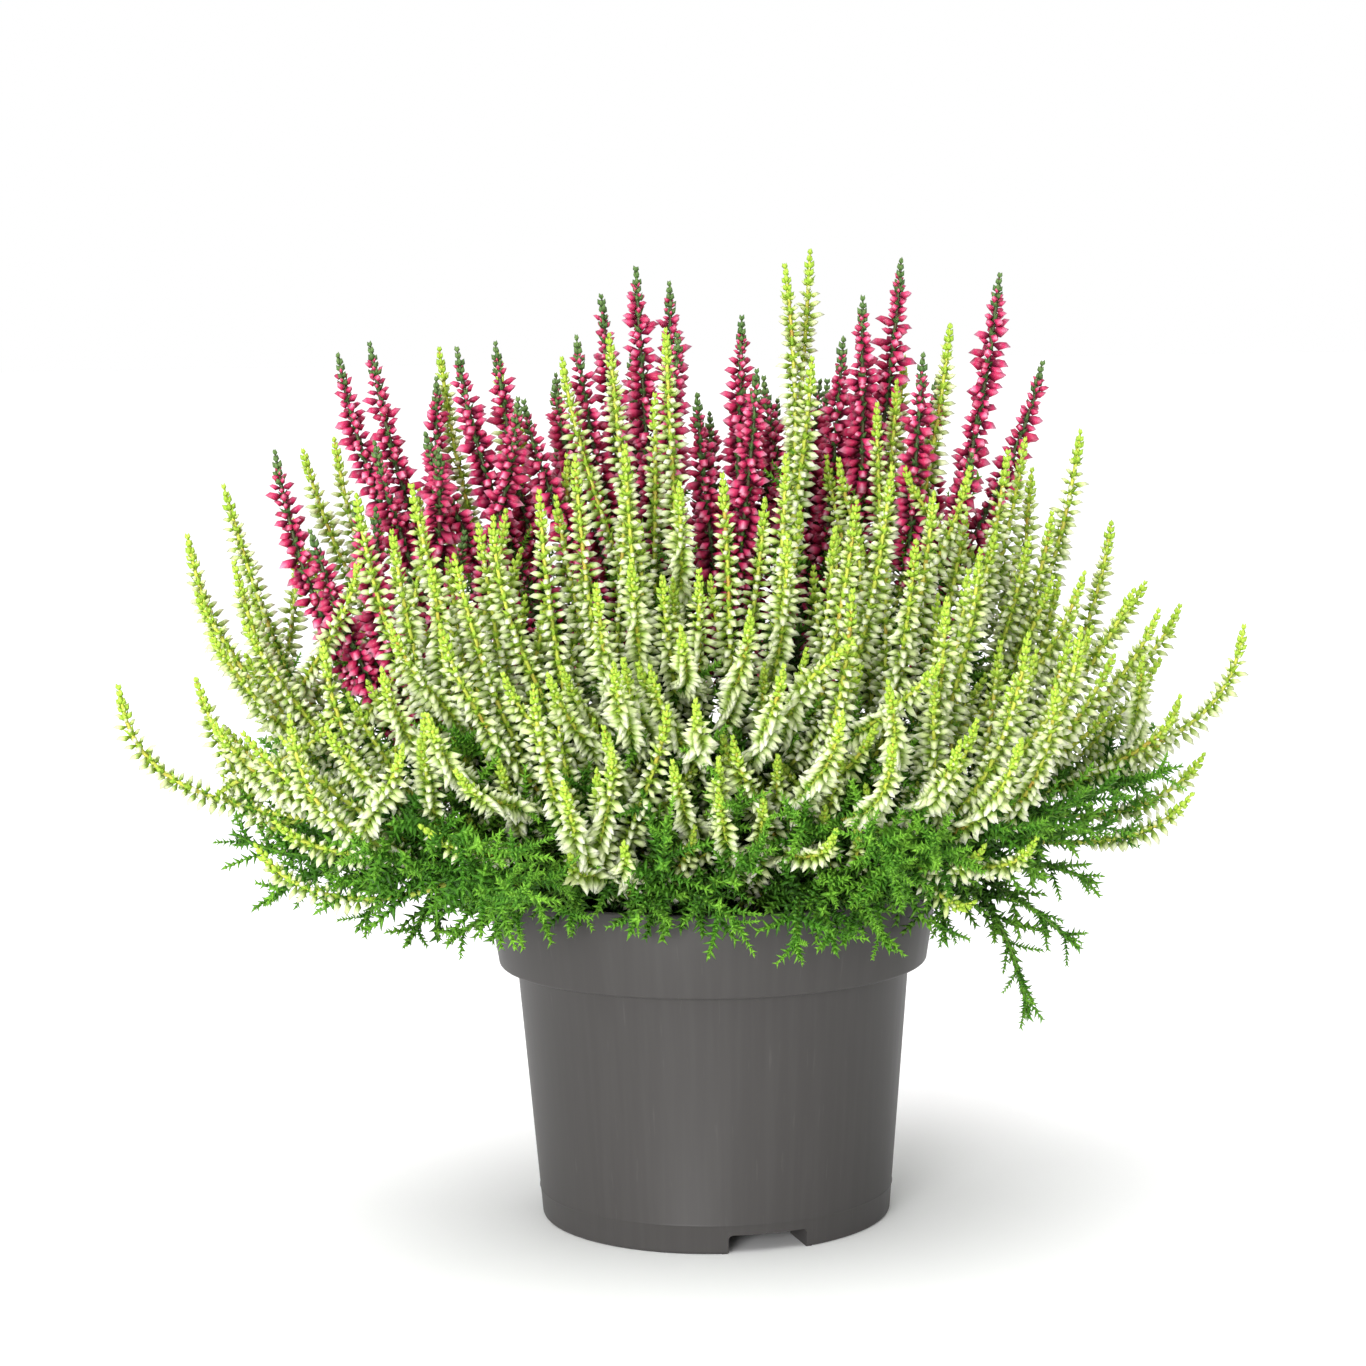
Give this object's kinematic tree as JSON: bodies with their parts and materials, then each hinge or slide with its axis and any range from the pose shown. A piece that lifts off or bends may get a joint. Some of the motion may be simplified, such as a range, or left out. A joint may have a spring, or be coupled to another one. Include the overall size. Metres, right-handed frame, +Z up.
{
  "type": "potted heather",
  "caption": "Two-coloured heather in a round grey nursery pot: upright crimson flower spikes at the back, lime and ivory ones in front, leafy green shoots over the rim.",
  "frame": {"origin": "on the ground, on the pot's axis", "axes": "+Z up, +X to the viewer's right in the picture, -Y towards the viewer"},
  "size_m": [0.2967, 0.2135, 0.2532],
  "materials": {
    "pot_plastic": "warm grey moulded plastic with a satin sheen and faint upright flow streaks",
    "soil": "dark peat potting soil, rough and matt",
    "white_spray": "dry ivory buds with green bases on lime stems",
    "crimson_spray": "dry crimson buds on dark green-brown stems",
    "leafy_spray": "feathery shoots of small mid-green scale leaves"
  },
  "bodies": {
    "root": {"crimson_spray_01": "crimson_spray", "crimson_spray_02": "crimson_spray", "crimson_spray_03": "crimson_spray", "crimson_spray_04": "crimson_spray", "crimson_spray_05": "crimson_spray", "crimson_spray_06": "crimson_spray", "crimson_spray_07": "crimson_spray", "crimson_spray_08": "crimson_spray", "crimson_spray_09": "crimson_spray", "crimson_spray_10": "crimson_spray", "crimson_spray_11": "crimson_spray", "crimson_spray_12": "crimson_spray", "crimson_spray_13": "crimson_spray", "crimson_spray_14": "crimson_spray", "crimson_spray_15": "crimson_spray", "leafy_spray_01": "leafy_spray", "leafy_spray_02": "leafy_spray", "leafy_spray_03": "leafy_spray", "leafy_spray_04": "leafy_spray", "leafy_spray_05": "leafy_spray", "leafy_spray_06": "leafy_spray", "leafy_spray_07": "leafy_spray", "leafy_spray_08": "leafy_spray", "leafy_spray_09": "leafy_spray", "leafy_spray_10": "leafy_spray", "leafy_spray_11": "leafy_spray", "pot": "pot_plastic", "soil": "soil", "white_spray_01": "white_spray", "white_spray_02": "white_spray", "white_spray_03": "white_spray", "white_spray_04": "white_spray", "white_spray_05": "white_spray", "white_spray_06": "white_spray", "white_spray_07": "white_spray", "white_spray_08": "white_spray", "white_spray_09": "white_spray", "white_spray_10": "white_spray", "white_spray_11": "white_spray", "white_spray_12": "white_spray", "white_spray_13": "white_spray", "white_spray_14": "white_spray", "white_spray_15": "white_spray", "white_spray_16": "white_spray", "white_spray_17": "white_spray", "white_spray_18": "white_spray", "white_spray_19": "white_spray", "white_spray_20": "white_spray", "white_spray_21": "white_spray", "white_spray_22": "white_spray", "white_spray_23": "white_spray", "white_spray_24": "white_spray", "white_spray_25": "white_spray", "white_spray_26": "white_spray", "white_spray_27": "white_spray", "white_spray_28": "white_spray", "white_spray_29": "white_spray", "white_spray_30": "white_spray", "white_spray_31": "white_spray", "white_spray_32": "white_spray"}
  },
  "joints": []
}
